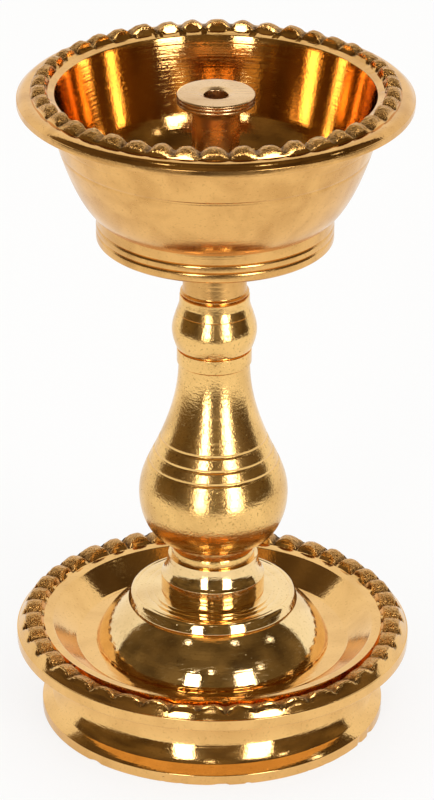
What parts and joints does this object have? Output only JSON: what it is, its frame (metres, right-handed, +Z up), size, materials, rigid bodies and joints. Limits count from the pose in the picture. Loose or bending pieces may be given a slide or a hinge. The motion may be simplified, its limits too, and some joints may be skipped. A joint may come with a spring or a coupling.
{
  "type": "butter lamp",
  "caption": "Turned brass butter lamp: a beaded bowl with a mushroom wick pillar, on a baluster stem above a domed, beaded drip tray. Pillar, bowl and stem unscrew.",
  "frame": {"origin": "centre of the foot's rim on the table", "axes": "+Z up the lamp's axis; +X and +Y in the table's plane, with the picture's camera on the -Y side"},
  "size_m": [0.066, 0.066, 0.113],
  "materials": {
    "cast_brass": "cast, turned and polished, with the cast skin left on the beads",
    "turned_brass": "turned and polished, with fine tool lines and casting pits",
    "thread_brass": "die-cut thread, dull",
    "plated_steel": "zinc plated, satin"
  },
  "bodies": {
    "base": {"base_dish": "cast_brass", "base_dome": "turned_brass", "base_washer": "plated_steel", "base_nut": "plated_steel", "stem_collar": "turned_brass"},
    "stem_screw": {"tie_stud": "plated_steel"},
    "stem": {"stem_vase": "turned_brass", "stem_knop": "turned_brass"},
    "bowl_screw": {"bowl_stud": "thread_brass"},
    "bowl": {"bowl": "cast_brass"},
    "pillar_screw": {"pillar_stud": "thread_brass"},
    "pillar": {"wick_pillar": "turned_brass"}
  },
  "joints": [
    {"name": "stem_turn", "type": "hinge", "parent": "base", "child": "stem_screw", "pos_m": [0, 0, 0.0286], "axis": [0, 0, 1], "range_deg": [0, 2160]},
    {"name": "stem_rise", "type": "slide", "parent": "stem_screw", "child": "stem", "axis": [0, 0, 1], "range_m": [0, 0.0075]},
    {"name": "bowl_turn", "type": "hinge", "parent": "stem", "child": "bowl_screw", "pos_m": [0, 0, 0.076], "axis": [0, 0, 1], "range_deg": [0, 2160]},
    {"name": "bowl_rise", "type": "slide", "parent": "bowl_screw", "child": "bowl", "axis": [0, 0, 1], "range_m": [0, 0.006]},
    {"name": "pillar_turn", "type": "hinge", "parent": "bowl", "child": "pillar_screw", "pos_m": [0, 0, 0.0914], "axis": [0, 0, 1], "range_deg": [0, 1800]},
    {"name": "pillar_rise", "type": "slide", "parent": "pillar_screw", "child": "pillar", "axis": [0, 0, 1], "range_m": [0, 0.004]}
  ],
  "couplings": [
    {"joint": "stem_turn", "follows": "stem_rise", "rad_per_m": 5026.5},
    {"joint": "bowl_turn", "follows": "bowl_rise", "rad_per_m": 6283.2},
    {"joint": "pillar_turn", "follows": "pillar_rise", "rad_per_m": 7854}
  ]
}
